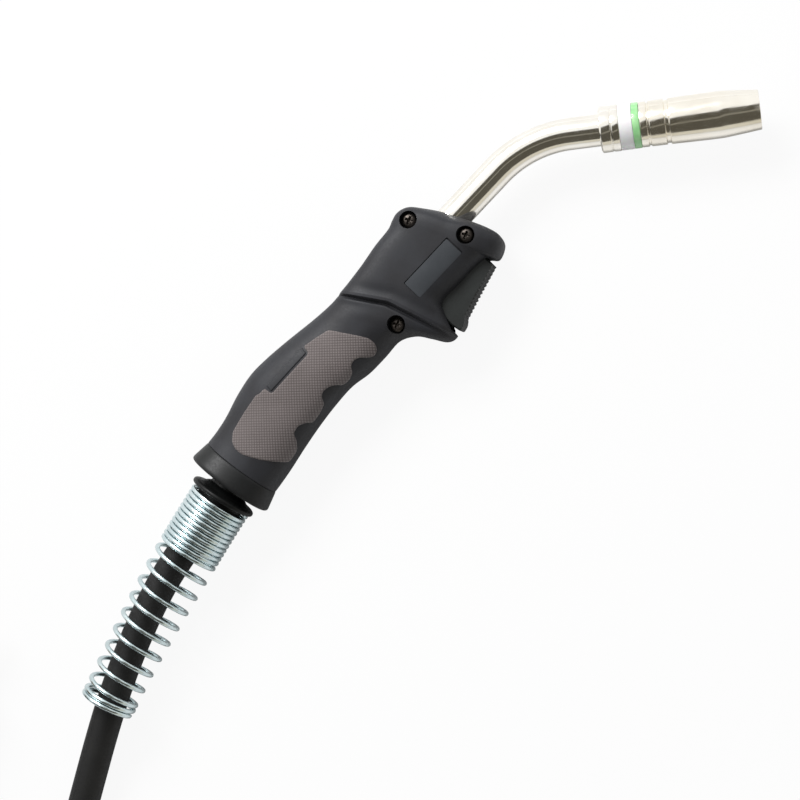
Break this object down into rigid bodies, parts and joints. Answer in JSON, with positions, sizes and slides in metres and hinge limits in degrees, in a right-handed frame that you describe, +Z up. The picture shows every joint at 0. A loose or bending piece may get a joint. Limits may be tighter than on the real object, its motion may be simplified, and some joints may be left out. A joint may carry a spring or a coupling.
{
  "type": "mig welding torch",
  "caption": "MIG welding torch with a curved metal neck and gas nozzle, a two-shell handle with a trigger, a sprung cable support and a coiled lead with its plug.",
  "frame": {"origin": "under the middle of the torch without its lead, on the bench that it lies on", "axes": "+X along the neck where it leaves the handle, towards the nozzle; +Y from the trigger to the handle's spine; +Z up from the bench, out of the handle's right side"},
  "size_m": [0.8152, 0.229, 0.048],
  "materials": {
    "shell_plastic": "blue-black moulded nylon, fine matte grain",
    "grip_rubber": "warm grey soft grip with a fine square stud pattern",
    "trigger_plastic": "dark moulded nylon",
    "screw_steel": "black oxidised steel",
    "neck_nickel": "polished nickel plate, slightly warm",
    "nozzle_nickel": "polished nickel plate, slightly warm",
    "white_insulator": "white glass-filled insulator",
    "green_ring": "translucent green ring",
    "copper": "turned copper",
    "brass": "turned brass",
    "spring_steel": "bright zinc plated wire",
    "support_plastic": "black moulded nylon",
    "hose_rubber": "matte black cable sheath",
    "boot_rubber": "matte black rubber",
    "tie_fabric": "black hook-and-loop strap",
    "plug_plastic": "black moulded nylon",
    "inner_insulation": "off-white insulating sleeve",
    "switch_plastic": "black switch case",
    "plunger_plastic": "red switch plunger",
    "oring_rubber": "black nitrile"
  },
  "bodies": {
    "handle": {"housing_right_shell": "shell_plastic", "housing_left_shell": "shell_plastic", "grip_pad_right": "grip_rubber", "grip_pad_left": "grip_rubber", "housing_screws": "screw_steel", "rear_sleeve": "support_plastic", "neck_tube": "neck_nickel", "neck_insulation": "inner_insulation", "neck_conductor": "copper", "wire_liner": "spring_steel", "neck_seat_block": "brass", "cable_ferrule": "brass", "lead_in_handle": "hose_rubber", "front_collar": "neck_nickel", "nozzle_insulator": "white_insulator", "green_ring": "green_ring", "gas_diffuser": "inner_insulation", "tip_holder": "copper", "contact_tip": "copper", "nozzle_spring": "spring_steel", "trigger_pin": "spring_steel", "trigger_spring": "spring_steel", "microswitch_body": "switch_plastic", "switch_terminals": "brass"},
    "trigger": {"trigger": "trigger_plastic"},
    "plunger": {"switch_plunger": "plunger_plastic"},
    "nozzle": {"gas_nozzle": "nozzle_nickel"},
    "support": {"cable_support": "support_plastic", "relief_spring": "spring_steel", "lead_tube": "hose_rubber", "lead_coil": "hose_rubber", "coil_tie": "tie_fabric", "lead_tail": "hose_rubber", "plug_boot": "boot_rubber", "plug_housing": "plug_plastic", "plug_body": "brass", "plug_main_pin": "brass", "plug_oring": "oring_rubber", "liner_nut": "brass"},
    "plug_nut": {"plug_nut": "plug_plastic"},
    "control_pin_upper": {"control_pin_upper": "brass"},
    "control_pin_lower": {"control_pin_lower": "brass"}
  },
  "joints": [
    {"name": "trigger_press", "type": "hinge", "parent": "handle", "child": "trigger", "pos_m": [0.07036, 0.00679, 0.0195], "axis": [0, 0, -1], "range_deg": [0, 7], "stiffness_Nm_per_rad": 0.6, "springref_deg": -6.88, "deforming": ["trigger_spring"]},
    {"name": "plunger_slide", "type": "slide", "parent": "handle", "child": "plunger", "axis": [0, 1, 0], "range_m": [0, 0.0012]},
    {"name": "nozzle_pull", "type": "slide", "parent": "handle", "child": "nozzle", "axis": [0.766, -0.6428, 0], "range_m": [0, 0.02]},
    {"name": "lead_swivel", "type": "hinge", "parent": "handle", "child": "support", "pos_m": [-0.08545, 0.02192, 0.0195], "axis": [0, 0, 1], "range_deg": [-15, 9]},
    {"name": "plug_nut_spin", "type": "hinge", "parent": "support", "child": "plug_nut", "pos_m": [-0.38545, 0.06792, 0.024], "axis": [1, 0, 0], "continuous": true},
    {"name": "control_pin_upper_push", "type": "slide", "parent": "support", "child": "control_pin_upper", "axis": [-1, 0, 0], "range_m": [0, 0.004], "stiffness_N_per_m": 500, "springref_m": -0.003},
    {"name": "control_pin_lower_push", "type": "slide", "parent": "support", "child": "control_pin_lower", "axis": [-1, 0, 0], "range_m": [0, 0.004], "stiffness_N_per_m": 500, "springref_m": -0.003}
  ],
  "couplings": [
    {"joint": "plunger_slide", "follows": "trigger_press", "m_per_rad": 0.0097}
  ]
}
